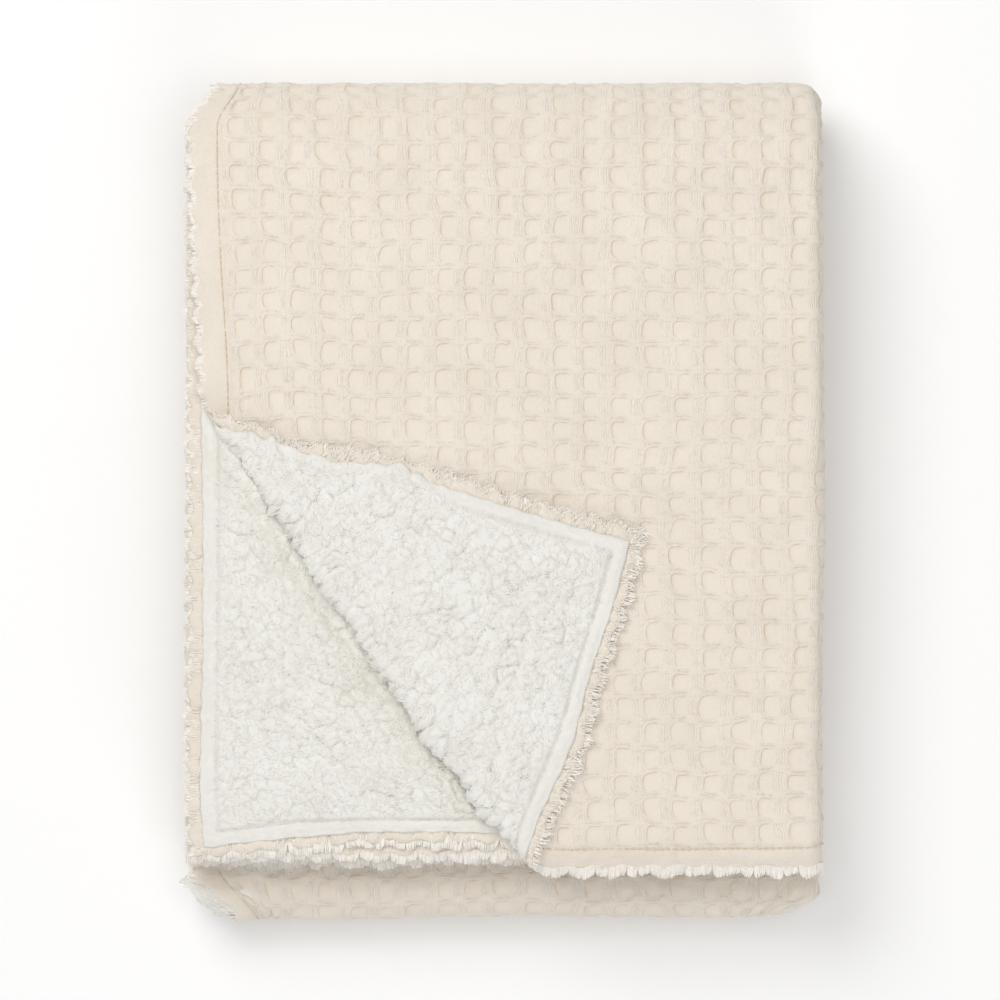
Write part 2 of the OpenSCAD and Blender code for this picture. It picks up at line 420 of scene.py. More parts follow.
def crumpled(strip, v):
    """How wrinkled the woven face is: most where it goes round a fold."""
    if strip == "first":
        return smooth((v - RUN_Y + 60 * MM) / (50 * MM))
    if strip == "lower":
        return smooth((v - LONG_RUN + 20 * MM) / (20 * MM))
    return 1.0


def pile(strip, u, v):
    """Height of the lining's pile below its tips, and its tone: painted shade in the cracks and
    beside the crease, a little darker on the band and along the seam.
    """
    edge = edge_distance(strip, u, v)
    shown = shown_lining(strip, u, v)
    covered = overgrown(strip, u, v)
    # Clumps, and the locks within them, drawn out along the crease and bent by noise
    x = u * CREASE_NORMAL[0] + v * CREASE_NORMAL[1]
    y = u * CREASE[0] + v * CREASE[1]
    x = x + MM * (3.2 * grain(u, v, 0.012, 51) + 7 * grain(u, v, 0.045, 50))
    y = y + MM * (3.2 * grain(u, v, 0.012, 53) + 7 * grain(u, v, 0.045, 49))
    near, far, tag = clumps(x / 0.0092, y / 0.0062, 55)
    crack = 1 - smooth((far - near) / 0.16)
    crack = crack * (0.2 + 0.8 * smooth(0.45 + 1.3 * grain(u, v, 0.006, 57)))
    lock_near, lock_far, lock_tag = clumps(x / 0.0052, y / 0.0032, 60)
    lock_crack = 1 - smooth((lock_far - lock_near) / 0.22)
    lock_crack = lock_crack * smooth(0.3 + 1.5 * grain(u, v, 0.0048, 58))
    fluff = 1.95 * (1 - near * near) * (0.35 + 0.9 * tag) - 0.45 * crack
    fluff = fluff + 0.4 * (1 - lock_near * lock_near) * (0.4 + lock_tag) - 0.22 * lock_crack
    fluff = fluff + 1.2 * noise(u / 0.023, v / 0.021, 56)
    fluff = fluff * (1 + 0.9 * bell(past_crease(strip, u, v) - BEND / 2, 5 * MM))
    full = 0.25 + 0.75 * smooth((edge - SEAM_IN) / (9 * MM) + covered)
    pile_h = 1.1 - shown * (0.4 + 0.3 * full + fluff * full)
    pile_h = pile_h * MM - fill_beside_crease(strip, u, v)
    spill = 9 * MM * smooth(0.75 + 1.1 * grain(u, v, 0.03, 59)) * covered
    inside = smooth((edge - SEAM_IN + 0.4 * MM + spill) / (2.4 * MM))
    band_h = 1.2 + 0.30 * np.cos((edge - LINING_IN) / (SEAM_IN - LINING_IN) * TURN)
    band_h = MM * (band_h + 0.35 * grain(u, v, 0.006, 61) + 0.22 * grain(u, v, 0.0022, 67))
    seam = bell(edge - SEAM_IN, 0.9 * MM) * (1 - smooth(spill / (3 * MM)))
    height = pile_h * inside + band_h * (1 - inside) + 0.5 * MM * seam
    # Painted shade in the cracks between clumps and locks; the band and the seam a little darker.
    tone = inside * shown * (0.9 * crack + 0.6 * lock_crack) + 0.14 * (1 - inside) + 0.3 * seam
    # Adds the painted shade beside the crease.
    tone = np.clip(tone + crease_shade(strip, u, v), 0, 1)
    return np.minimum(height, LINING_TOP - 2 * AIR), tone


def below_crease(u, v):
    """For the second layer, how far a point lies out past the straight line of the crease above
    it and past the bowed crease, and its place along that line from 0 to 1."""
    x, y = WIDTH - u, Y_HEM + v - Y_CREASE
    out = -(x * CREASE_NORMAL[0] + y * CREASE_NORMAL[1])
    s = (x * CREASE[0] + y * CREASE[1]) / CREASE_LENGTH
    return out, out + set_in(s), s


def fill_beside_crease(strip, u, v):
    """How much the second layer's pile swells up to the upper end of the rolled crease, and
    negative where it lies low beside the rest of it."""
    if strip != "first":
        return 0.0
    _, out, s = below_crease(u, v)
    high_end = smooth((0.36 - s) / 0.28)
    rise = MM * (4.2 * high_end - 3.0 * (1 - high_end))
    rise = rise * smooth(1 - (out - 9 * MM) / (14 * MM + 12 * MM * high_end))
    rise = rise * smooth((out - 2 * MM) / (5 * MM))
    rise = rise * smooth((edge_distance(strip, u, v) - 8 * MM) / (12 * MM))
    return np.where(u > SECOND, rise, 0)


def crease_shade(strip, u, v):
    """Painted shade on the second layer's pile beside the roll of the crease, which stands above
    it.
    """
    if strip != "first":
        return 0.0
    _, out, s = below_crease(u, v)
    shade_amount = np.interp(s, [0.2, 0.5, 0.8], [0.40, 0.50, 0.66])
    shade_amount = shade_amount * smooth(s / 0.08) * smooth((1 - s) / 0.08) * smooth(1 - out / (42 * MM))
    shade_amount = shade_amount * (0.2 + 0.8 * smooth((out - 8 * MM) / (6 * MM)))
    return np.where(u > SECOND, shade_amount, 0)


def slack(strip, u, v):
    """How far across the lining creeps toward the woven edge where it is overgrown."""
    creep = 3.2 * smooth(0.55 + 1.2 * noise(v / 0.021, 3, 63)) + 1.3 * noise(v / 0.0042, 5, 64)
    creep = creep * overgrown(strip, u, v)
    creep = creep + (17 + 4 * noise(v / 0.008, 7, 65)) * slipped(strip, u, v)
    return -MM * creep * smooth(1 - u / (30 * MM))


def slipped(strip, u, v):
    """1 where the lining has slipped out past the face cloth, at the front fold's free corner."""
    if strip != "lower":
        return np.zeros(np.shape(u))
    return np.exp(-((v - LONG_RUN - 0.74 * FRONT_ARC) / (15 * MM)) ** 4) * (u < 40 * MM)


def no_slack(strip, u, v):
    """The face cloth does not creep."""
    return 0.0


def overgrown(strip, u, v):
    """1 where the pile covers the seam: along the turned-back corner's side edge."""
    if strip != "first":
        return np.zeros(np.shape(u))
    return smooth((v - 70 * MM) / (60 * MM)) * smooth(1 - u / (40 * MM))


def shown_lining(strip, u, v):
    """1 on the turned-back corner and the lining it uncovers, 0 where the lining is hidden."""
    if strip != "first":
        return np.zeros(np.shape(u))
    corner = smooth((past_crease(strip, u, v) + 3 * MM) / (5 * MM))
    opening = np.where(u > SECOND, smooth((below_crease(u, v)[0] + 10 * MM) / (10 * MM)), 0)
    return np.maximum(corner, opening)


def weave_place(strip, u, v):
    """What each point carries for its material: its place in the weave, in metres, and its
    distance from the woven edge."""
    a, b = cell_coords(strip, u, v)
    return np.stack([a * CELL_U, b * CELL_V, edge_distance(strip, u, v)], -1)


# ---- Meshes ----

def add_object(name, data, location=(0, 0, 0)):
    obj = bpy.data.objects.new(name, data)
    obj.location = location
    bpy.context.scene.collection.objects.link(obj)
    return obj


class Piece:
    """Points and faces, with what each point carries, gathered until the object is made."""

    def __init__(self):
        self.points, self.faces, self.cloth, self.tone, self.turn, self.cut = [], [], [], [], [], []
        self.count = 0

    def add(self, points, faces, cloth, tone, turn, cut=None):
        n = len(points)
        self.points.append(points)
        self.faces.extend([[k + self.count for k in face] for face in faces])
        self.cloth.append(cloth)
        self.tone.append(np.broadcast_to(tone, n))
        self.turn.append(np.broadcast_to(turn, n))
        self.cut.append(np.zeros(n, bool) if cut is None else cut)
        self.count += n

    def make(self, name, material, rounded):
        mesh = bpy.data.meshes.new(name)
        mesh.from_pydata(np.concatenate(self.points).tolist(), [], self.faces)
        for carried, kind, slot, values in (("cloth", "FLOAT_VECTOR", "vector", self.cloth),
                                            ("tone", "FLOAT", "value", self.tone)):
            values = np.concatenate(values).astype(np.float32).ravel()
            mesh.attributes.new(carried, kind, "POINT").data.foreach_set(slot, values)
        mesh.polygons.foreach_set("use_smooth", np.full(len(mesh.polygons), rounded))
        ends = np.zeros(2 * len(mesh.edges), np.int32)
        mesh.edges.foreach_get("vertices", ends)
        cut = np.concatenate(self.cut)
        mesh.edges.foreach_set("use_edge_sharp", cut[ends].reshape(-1, 2).all(axis=1))
        mesh.materials.append(material)
        mesh.update()
        return add_object(name, mesh)


def spaced(stops, steps):
    """Grid lines from stop to stop, about one step apart in each stretch."""
    lines = [np.array(stops[:1])]
    for a, b, step in zip(stops, stops[1:], steps):
        n = max(1, round((b - a) / step))
        lines.append(a + (b - a) * np.arange(1, n + 1) / n)
    return np.concatenate(lines)


def divided(lines, parts):
    """The lines with each stretch between two of them divided into its number of parts."""
    inner = [a + (b - a) * np.arange(k) / k for a, b, k in zip(lines, lines[1:], parts)]
    return np.concatenate(inner + [lines[-1:]])


def lattice(u_lines, v_lines, u_parts, v_parts, fine, border=None):
    """A grid of cells, of which the fine ones are divided. Gives the points' u and v, their
    numbers on the fully divided grid, and the faces; a coarse cell beside a fine one is a
    polygon that takes in the points along its side."""
    us, vs = divided(u_lines, u_parts), divided(v_lines, v_parts)
    u_at, v_at = np.cumsum([0, *u_parts]), np.cumsum([0, *v_parts])
    small = np.repeat(np.repeat(fine, u_parts, 0), v_parts, 1)
    used = np.zeros((len(us), len(vs)), bool)
    used[np.ix_(u_at, v_at)] = True
    for a in (0, 1):
        for b in (0, 1):
            used[a:a + small.shape[0], b:b + small.shape[1]] |= small
    if border is not None:
        used |= border
    number = np.full(used.shape, -1)
    number[used] = np.arange(used.sum())
    i, j = np.nonzero(small)
    corners = [number[i, j], number[i + 1, j], number[i + 1, j + 1], number[i, j + 1]]
    faces = np.stack(corners, 1).tolist()
    for i, j in zip(*np.nonzero(~fine)):
        a, b, c, d = u_at[i], u_at[i + 1], v_at[j], v_at[j + 1]
        ring = [number[a:b, c], number[b, c:d], number[b:a:-1, d], number[a, d:c:-1]]
        ring = np.concatenate(ring)
        faces.append(ring[ring >= 0].tolist())
    i, j = np.nonzero(used)
    return us[i], vs[j], number, used, faces


BORDER = 14 * MM  # the strip along a woven edge that has fine detail


def near_edge(strip, u, v):
    """The cells beside a woven edge, from where they start."""
    side = (u < BORDER) | (u > WIDTH - BORDER)
    end = (v < BORDER) & (strip in HEMMED)
    return side[:, None] | end[None]


def hem_back(strip, u, v):
    """Height of the face cloth's inner side, gathered along its woven edges."""
    edge = edge_distance(strip, u, v)
    side = np.minimum(u, WIDTH - u) <= edge
    fine = np.where(side, noise(u / 0.013, v / 0.0031, 22), noise(u / 0.0031, v / 0.013, 27))
    folds = np.abs(fine) + 0.5 * np.abs(grain(u, v, 0.0026, 23))
    folds = (2.6 * folds - 1.7) * smooth((LINING_IN + 1 * MM - edge) / (2 * MM))
    return LINING_T + AIR + folds * MM


def lining_back(strip, u, v):
    """Height of the lining's plain inner side."""
    return LINING_TOP + 1.6 * MM * grain(u, v, 0.005, 66) * slipped(strip, u, v)


def rim_of(number):
    """The numbers of the points round the grid's border, in order."""
    ring = [number[:-1, 0], number[-1, :-1], number[:0:-1, -1], number[0, :0:-1]]
    ring = np.concatenate(ring)
    return ring[ring >= 0]


def add_sheet(piece, strip, make_grid, relief, inner, creep, outside):
    """One strip of cloth as a closed skin: its outer side with relief, an inner side that has
    detail along the woven edges only, and a rounded rim. outside is +1 if the outer side faces
    up through h."""
    u_lines, v_lines, u_parts, v_parts, fine = make_grid(strip)
    u, v, number, used, faces = lattice(u_lines, v_lines, u_parts, v_parts, fine)
    border = np.zeros(used.shape, bool)
    for side in (np.s_[0, :], np.s_[-1, :], np.s_[:, 0], np.s_[:, -1]):
        border[side] = used[side]
    detailed = fine & (outside > 0) & near_edge(strip, u_lines[:-1] + MM, v_lines[:-1] + MM)
    u2, v2, number2, _, faces2 = lattice(u_lines, v_lines, u_parts, v_parts, detailed, border)
    h, tone = relief(strip, u, v)
    inner_h = inner(strip, u2, v2)
    n, n2 = len(u), len(u2)
    top, bottom = rim_of(number), rim_of(number2)
    rim_u, rim_v = u[top], v[top]
    hem = strip in HEMMED
    out_u = np.where(rim_u == u_lines[0], -1, np.where(rim_u == u_lines[-1], 1, 0))
    out_v = np.where((rim_v == v_lines[0]) & hem, -1, 0)
    bulge = 0.45 * np.abs(h[top] - inner_h[bottom]) / np.maximum(np.hypot(out_u, out_v), 1)
    bulged_u = rim_u + creep(strip, rim_u, rim_v) + out_u * bulge
    points = np.concatenate([
        cloth_point(strip, u + creep(strip, u, v), v, h),
        cloth_point(strip, u2 + creep(strip, u2, v2), v2, inner_h),
        cloth_point(strip, bulged_u, rim_v + out_v * bulge, (h[top] + inner_h[bottom]) / 2),
    ])
    ring = np.arange(len(top)) + n + n2
    after = np.roll(np.arange(len(top)), -1)
    low = bottom + n
    walls = np.concatenate([
        np.stack([top, ring, ring[after], top[after]], 1),
        np.stack([ring, low, low[after], ring[after]], 1),
    ]).tolist()
    under = [[k + n for k in reversed(face)] for face in faces2]
    every = faces + under + walls
    if (outside < 0) != (strip in MIRRORED):
        every = [face[::-1] for face in every]
    all_u, all_v = np.concatenate([u, u2, rim_u]), np.concatenate([v, v2, rim_v])
    cloth = weave_place(strip, all_u, all_v)
    tones = np.concatenate([tone, np.zeros(n2), tone[top]])
    cut = (all_v == v_lines[-1]) | ((all_v == v_lines[0]) & (not hem))
    on_rim = [np.isin(np.arange(n), top), np.isin(np.arange(n2), bottom), np.ones(len(top), bool)]
    cut = cut & np.concatenate(on_rim)
    piece.add(points, every, cloth, tones, share(strip, all_u, all_v), cut)


def unit(vectors):
    return vectors / np.maximum(np.linalg.norm(vectors, axis=-1, keepdims=True), 1e-9)


def strands(piece, strip, u, v, h, radius, sides, tone):
    """Closed tubes along lines in the cloth. The coordinates, the radius and the tone are
    strands by rings."""
    centre = cloth_point(strip, u, v, h)
    up = unit(cloth_point(strip, u, v, h + 0.3 * MM) - centre)
    side = unit(np.cross(np.gradient(centre, axis=1), up))
    count, rings = u.shape
    angle = TURN * np.arange(sides) / sides
    ring = side[:, :, None] * np.cos(angle)[:, None] + up[:, :, None] * np.sin(angle)[:, None]
    points = (centre[:, :, None] + ring * radius[:, :, None, None]).reshape(-1, 3)
    k = np.arange(sides)
    step = (k + 1) % sides
    one = [np.stack([a + k, a + step, a + sides + step, a + sides + k], 1)
           for a in np.arange(rings - 1) * sides]
    base = np.arange(count)[:, None, None] * rings * sides
    faces = (np.concatenate(one)[None] + base).reshape(-1, 4).tolist()
    for end in (k[::-1], (rings - 1) * sides + k):
        faces += (end[None] + base[:, 0]).tolist()

    def spread(values):
        return np.repeat(values.reshape(count * rings, -1), sides, 0)

    tone = spread(np.broadcast_to(tone, u.shape))[:, 0]
    turn = spread(share(strip, u, v))[:, 0]
    piece.add(points, faces, spread(weave_place(strip, u, v)), tone, turn)


# ---- Grids ----

# Stops along each strip and the steps between them, and the detail of its face, in millimetres
V_STOPS = {
    **dict.fromkeys(HEMMED, ([0, BORDER, RUN_Y], [3.5, 10.5])),
    "outer_fold": ([0, STRIP_LENGTH["outer_fold"]], [2.6]),
    "inner_fold": ([0, STRIP_LENGTH["inner_fold"]], [1.3]),
    "lower": ([0, LONG_RUN, LONG_RUN + FRONT_ARC, STRIP_LENGTH["lower"]], [10.5, 0.9, 10.5]),
}
FACE_DETAIL = {"first": 1.45, "last": 2.3, "outer_fold": 1.6, "inner_fold": 2.2, "lower": 2.2}
LINING_DETAIL = 0.85


def cloth_grid(start, u_steps, v_stops, v_steps, detail, is_fine):
    """The grid of one cloth over a strip, from a start beside one woven edge to the other: its
    lines, how many parts a fine cell between two of them has, and which cells are fine."""
    u_stops = [start, BORDER, *U_ENDS[1:7], WIDTH - BORDER, WIDTH - start]
    lines = spaced(u_stops, np.array(u_steps) * MM), spaced(v_stops, np.array(v_steps) * MM)
    parts = [np.maximum(1, np.round(np.diff(at) / (detail * MM))).astype(int) for at in lines]
    middles = [(at[1:] + at[:-1]) / 2 for at in lines]
    return *lines, *parts, is_fine(*np.meshgrid(*middles, indexing="ij"))


def face_grid(strip):
    def is_fine(u, v):
        return (u < U_ENDS[2]) | (edge_distance(strip, u, v) < BORDER)

    u_steps = [3.5, 10.5, 1.6, 6, 1.2, 6, 1.2, 6, 3]
    return cloth_grid(0, u_steps, *V_STOPS[strip], FACE_DETAIL[strip], is_fine)


def lining_grid(strip):
    def is_fine(u, v):
        """Cells with any lining that shows."""
        near = [(u + a, v + b) for a in (-6 * MM, 0, 6 * MM) for b in (-6 * MM, 0, 6 * MM)]
        return sum(shown_lining(strip, *place) for place in near) > 0

    u_steps = [3, 8, 1.6, 8, 1.2, 8, 1.2, 8, 3]
    stops = ([LINING_IN, BORDER, RUN_Y], [3, 8]) if strip in HEMMED else V_STOPS[strip]
    return cloth_grid(LINING_IN, u_steps, *stops, LINING_DETAIL, is_fine)


# ---- Fringe and seam ----

YARN_GAP = 0.5 * MM  # between neighbouring yarn ends
SIDE_TUFT, END_TUFT = 4.2 * MM, 7.4 * MM  # width of a bunch of yarn ends that lean together


def edge_fringe(piece, strip):
    """Yarn ends along the two side edges of a strip, and along its hem."""
    v = np.arange(0.5, STRIP_LENGTH[strip] / YARN_GAP) * YARN_GAP
    for edge, outward in ((0, -1), (WIDTH, 1)):
        add_fringe(piece, strip, np.full(v.shape, edge), v, outward, 0, 0.62 * SIDE_FRINGE,
                   SIDE_TUFT, 80 + len(strip) + outward)
    if strip in HEMMED:
        u = np.arange(0.5, WIDTH / YARN_GAP) * YARN_GAP
        add_fringe(piece, strip, u, np.zeros(u.shape), 0, -1, 0.68 * END_FRINGE, END_TUFT,
                   90 + len(strip))


def frays(piece, strip, seed):
    """Loose yarn ends that lie over the woven strip beside the lining, where that side shows."""
    for reach, at_hem in ((255 * MM, 0), (190 * MM, 1)):
        n = int(reach / (0.9 * MM))
        place = np.arange(n) * reach / n
        inset = scattered(n, 0.8 * MM, 0.9 * LINING_IN, seed + n)
        for start, inward in ((0, 1), (WIDTH, -1)):
            u, v = (start + inward * place, inset) if at_hem else (start + inward * inset, place)
            keep = shown_lining(strip, u, v) > 0.5
            add_fringe(piece, strip, u[keep], v[keep], 0 if at_hem else -inward, -at_hem,
                       0.55 * SIDE_FRINGE, 1.3 * MM, seed + n, LINING_T + 0.2 * MM)


def add_fringe(piece, strip, u, v, out_u, out_v, length, tuft, seed, level=None):
    """Yarn ends from points on a woven edge, in bunches that vary in length and lean. They are
    most ruffled on the turned-back corner."""
    n = np.arange(len(u))

    def own(k):
        return hashed(n, k, seed)

    t = (pattern_u(u) if out_v else pattern_v(strip, v)) + 0.3 * tuft * noise(n / 9, 0, seed + 5)
    bunch = np.floor(t / tuft)

    def shared(k):
        return hashed(bunch, k, seed + 7)

    off_centre = t / tuft - bunch - 0.5
    rounded = 1 - 1.3 * off_centre ** 4 - 0.5 * off_centre ** 2
    ruffled = smooth(past_crease(strip, u, v) / (10 * MM))
    reach = length * rounded * (0.66 + 0.26 * shared(1) + 0.13 * own(1) - 0.20 * ruffled * own(6))
    lean = (0.8 + 3.6 * ruffled) * (own(2) - 0.5) - off_centre
    lean = 0.34 * length * (shared(2) - 0.5) + MM * lean
    lift = MM * (1.5 * (shared(3) - 0.5) + 0.7 * (own(3) - 0.5) - 2.2 * ruffled * own(7))
    s = np.array([-0.4, 0.45, 1.0])
    reach, lean, lift = reach[:, None], lean[:, None], lift[:, None]
    bent = lean * np.maximum(s, 0) ** 1.5
    uu = u[:, None] + out_u * reach * s + (bent if out_v else 0)
    vv = v[:, None] + out_v * reach * s + (bent if out_u else 0)
    level = (LINING_T + FACE_TOP) / 2 if level is None else level
    h = level + lift * np.maximum(s, 0) + 0.5 * MM * (own(4)[:, None] - 0.5)
    radius = np.array([0.28, 0.30, 0.22]) * MM * (0.8 + 0.4 * own(5)[:, None])
    strands(piece, strip, uu, vv, h, radius, 4, 0)


# ---- Locks of pile ----

LOCKS = 9500  # scattered at each side edge, before those that would not show are left out
SLIPPED_LOCKS = 1500  # the same at the lining that has slipped out
LOCK = 3.8 * MM  # length of one lock


def scattered(count, low, high, seed):
    """Evenly spread numbers between low and high, different for each seed."""
    return low + (high - low) * hashed(np.arange(count), 5, seed)


def locks(piece, strip, u, v, seed, side, length, toward, lift):
    """Small curled locks of pile that start at points of the lining, on its pile side or, with
    side -1, on its plain side. toward is the way they lie, and lift how far they stand up."""
    n = len(u)
    length = (length * scattered(n, 0.6, 1.25, seed + 2))[:, None]
    heading = toward + scattered(n, -1.2, 1.2, seed + 4)
    curl = scattered(n, -1.5, 1.5, seed + 5)
    s = np.array([0.0, 0.5, 1.0])
    angle = heading[:, None] + curl[:, None] * s
    uu = u[:, None] + length * s * np.cos(angle)
    vv = v[:, None] + length * s * np.sin(angle)
    ground, tone = pile(strip, uu, vv)
    if side < 0:
        ground = lining_back(strip, uu, vv)
    lift = np.array(lift) + scattered(n, -0.2, 0.3, seed + 6)[:, None] * s
    radius = np.array([0.45, 0.55, 0.22]) * MM * scattered(n, 0.7, 1.2, seed + 7)[:, None]
    # The locks carry part of the painted shade in the pile's cracks and the painted shade beside
    # the crease.
    tone = 0.3 * tone + 0.5 * crease_shade(strip, uu, vv)
    h = ground - side * lift * MM
    strands(piece, strip, uu + slack(strip, uu, vv), vv, h, radius, 4, tone)


def cover(piece, start, seed):
    """Locks over one stretch of pile that shows, from a side edge of the cloth inward."""
    u = scattered(LOCKS, start, start + 190 * MM, seed)
    v = scattered(LOCKS, 0, 250 * MM, seed + 1)
    room = edge_distance("first", u, v) - SEAM_IN
    room = room + (SEAM_IN - LINING_IN + MM) * overgrown("first", u, v)
    keep = (shown_lining("first", u, v) > 0.5) & (room > 0.8 * MM)
    u, v = u[keep], v[keep]
    toward = 0.9 + 1.3 * noise(u / 0.016, v / 0.016, seed + 3)
    locks(piece, "first", u, v, seed, 1, LOCK, toward, [-0.42, 0.04, -0.14])


def cover_slipped(piece, seed):
    """Locks on the lining that has slipped out at the front fold's corner."""
    u = scattered(SLIPPED_LOCKS, LINING_IN + 1.5 * MM, 20 * MM, seed)
    v = LONG_RUN + scattered(SLIPPED_LOCKS, 0, 1.15 * FRONT_ARC, seed + 1)
    toward = scattered(SLIPPED_LOCKS, -3, 3, seed + 3)
    keep = u + slack("lower", u, v) < -3 * MM
    u, v, toward = u[keep], v[keep], toward[keep]
    locks(piece, "lower", u, v, seed, -1, 0.8 * LOCK, toward, [-0.4, 0.1, 0.0])


def build_locks(part, material):
    piece = Piece()
    if part == "upper":
        cover(piece, 0, 120)
        cover(piece, WIDTH - 190 * MM, 140)
    else:
        cover_slipped(piece, 160)
    nodes = nodes_of("lining", part)
    return finish_piece(piece, "sherpa_locks", part, material, nodes)


STITCH = 3.6 * MM
STITCH_S = np.array([0.06, 0.25, 0.5, 0.75, 0.94]) * STITCH  # rings along one stitch,
STITCH_ARCH = np.array([-0.25, 0.12, 0.2, 0.12, -0.25]) * MM  # how far each stands out,
STITCH_R = np.array([0.16, 0.26, 0.28, 0.26, 0.16]) * MM  # and its radius


def stitches(piece, strip, kind):
    """The stitches along the seam of a strip, on the face or on the lining."""
    end = STRIP_LENGTH[strip]
    v = np.arange(SEAM_IN if strip in HEMMED else 0, end - STITCH / 2, STITCH)[:, None] + STITCH_S
    rows = [(np.full(v.shape, line), np.minimum(v, end)) for line in (SEAM_IN, WIDTH - SEAM_IN)]
    if strip in HEMMED:
        u = np.arange(SEAM_IN, WIDTH - SEAM_IN - STITCH / 2, STITCH)[:, None] + STITCH_S
        rows.append((u, np.full(u.shape, SEAM_IN)))
    h = FACE_TOP - 0.95 * MM + STITCH_ARCH if kind == "needle" else 1.9 * MM - STITCH_ARCH
    for u, v in rows:
        around = [np.broadcast_to(each, u.shape) for each in (h, STITCH_R)]
        strands(piece, strip, u, v, *around, 6, 0)


# ---- Materials ----

def feed(slot, value):
    """Gives an input a fixed value, or what comes out of another node."""
    value = value.socket if isinstance(value, Number) else value
    if isinstance(value, bpy.types.NodeSocket):
        slot.id_data.links.new(value, slot)
    else:
        slot.default_value = value


class Number:
    """A number in a shader. Arithmetic on it adds the nodes that work it out."""

    def __init__(self, socket):
        self.socket = socket

    def by(self, operation, *others, clamp=False):
        node = self.socket.id_data.nodes.new("ShaderNodeMath")
        node.operation, node.use_clamp = operation, clamp
        for slot, value in zip(node.inputs, (self, *others)):
            feed(slot, value)
        return Number(node.outputs[0])

    __add__ = partialmethod(by, "ADD")
    __sub__ = partialmethod(by, "SUBTRACT")
    __mul__ = partialmethod(by, "MULTIPLY")
    __pow__ = partialmethod(by, "POWER")
    __abs__ = partialmethod(by, "ABSOLUTE")

    def ramp(self, start, end):
        """0 at start, 1 at end, level beyond."""
        return (self - start).by("DIVIDE", end - start, clamp=True)


class Look:
    """A material under construction."""

    def __init__(self, name, roughness, specular, sheen, sheen_roughness=0.6):
        self.material = bpy.data.materials.new(name)
        self.material.use_nodes = True
        self.nodes = self.material.node_tree.nodes
        self.shader = self.nodes["Principled BSDF"]
        for slot, value in (("Roughness", roughness), ("Specular IOR Level", specular),
                            ("Sheen Weight", sheen), ("Sheen Roughness", sheen_roughness)):
            self.set(slot, value)

    def set(self, slot, value):
        feed(self.shader.inputs[slot], value)

    def carried(self, name):
        node = self.nodes.new("ShaderNodeAttribute")
        node.attribute_name = name
        return node

    def place(self):
        """The point's place in the weave, as a vector and as numbers."""
        vector = self.carried("cloth").outputs["Vector"]
        split = self.nodes.new("ShaderNodeSeparateXYZ")
        feed(split.inputs[0], vector)
        return vector, *map(Number, split.outputs)

    def tone(self):
        return Number(self.carried("tone").outputs["Fac"])

    def texture(self, kind, vector, size):
        """A texture node whose pattern repeats about once every size, in metres."""
        node = self.nodes.new(kind)
        feed(node.inputs["Vector"], vector)
        feed(node.inputs["Scale"], 1 / size)
        return node

    def noise(self, vector, size, detail=2.0):
        """Noise from about 0.3 to 0.7."""
        node = self.texture("ShaderNodeTexNoise", vector, size)
        feed(node.inputs["Detail"], detail)
        return Number(node.outputs["Fac"])

    def curls(self, vector, size):
        """0 at the middle of each small round curl, rising to its edge."""
        node = self.texture("ShaderNodeTexVoronoi", vector, size)
        node.feature = "SMOOTH_F1"
        return Number(node.outputs["Distance"])

    def mix(self, share, low, high):
        """A colour between two, either of them a colour or a socket."""
        node = self.nodes.new("ShaderNodeMix")
        node.data_type = "RGBA"
        for slot, value in ((0, share), (6, low), (7, high)):
            feed(node.inputs[slot], value)
        return node.outputs[2]

    def bump(self, *layers):
        """Bumps made by heights in metres, each over the one before."""
        normal = self.shader.inputs["Normal"]
        for height in reversed(layers):
            node = self.nodes.new("ShaderNodeBump")
            feed(node.inputs["Distance"], 1.0)
            feed(node.inputs["Height"], height)
            feed(normal, node.outputs["Normal"])
            normal = node.inputs["Normal"]


UPRIGHT_PITCH, LEVEL_PITCH = 1.30 * MM, 0.95 * MM  # of the threads, across and along

# Colours, some of them as a dark and a light one that noise mixes
CREAM = (0.790, 0.716, 0.620, 1), (0.840, 0.768, 0.672, 1)
# The brown is the colour of the woven face's painted shade.
DISC_CREAM, SHADE_BROWN = (0.865, 0.785, 0.680, 1), (0.66, 0.47, 0.28, 1)
# Painted highlight on the raised threads.
THREAD_HIGHLIGHT = (0.93, 0.88, 0.80, 1)
FLEECE = (0.800, 0.784, 0.736, 1), (0.842, 0.830, 0.786, 1)
# The grey is the colour of the pile's painted shade.
SHADE_GREY, TUFT_WHITE = (0.56, 0.53, 0.41, 1), (0.89, 0.88, 0.845, 1)
YARN = (0.88, 0.83, 0.76, 1), (0.95, 0.925, 0.88, 1)
NEEDLE = (0.66, 0.53, 0.38, 1), (0.79, 0.68, 0.53, 1)
BOBBIN = (0.76, 0.73, 0.66, 1), (0.84, 0.81, 0.75, 1)


